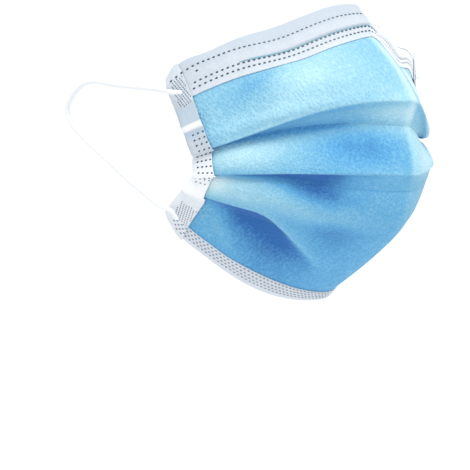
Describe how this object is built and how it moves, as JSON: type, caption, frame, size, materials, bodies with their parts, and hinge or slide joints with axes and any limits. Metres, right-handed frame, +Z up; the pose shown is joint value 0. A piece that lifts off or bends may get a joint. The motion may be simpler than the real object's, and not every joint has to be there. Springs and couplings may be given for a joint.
{
  "type": "surgical face mask",
  "caption": "Pleated disposable face mask opened out as it is worn, with white folded edge bands, a nose wire pocket and round elastic ear loops.",
  "frame": {"origin": "middle of the face opening, level with the rearmost corners of the side bands", "axes": "+Z up the face, -Y out of the front of the mask, +X to the wearer's left"},
  "size_m": [0.138, 0.1346, 0.119],
  "materials": {
    "blue_nonwoven": "matt pebbled nonwoven, pale blue outside and white inside",
    "white_nonwoven": "smooth thin nonwoven with rows of small weld dots",
    "white_elastic": "soft round knitted elastic"
  },
  "bodies": {
    "root": {"pleated_panel": "blue_nonwoven", "top_band": "white_nonwoven", "bottom_band": "white_nonwoven", "side_band_right": "white_nonwoven", "side_band_left": "white_nonwoven", "ear_loop_right": "white_elastic", "ear_loop_left": "white_elastic"}
  },
  "joints": []
}
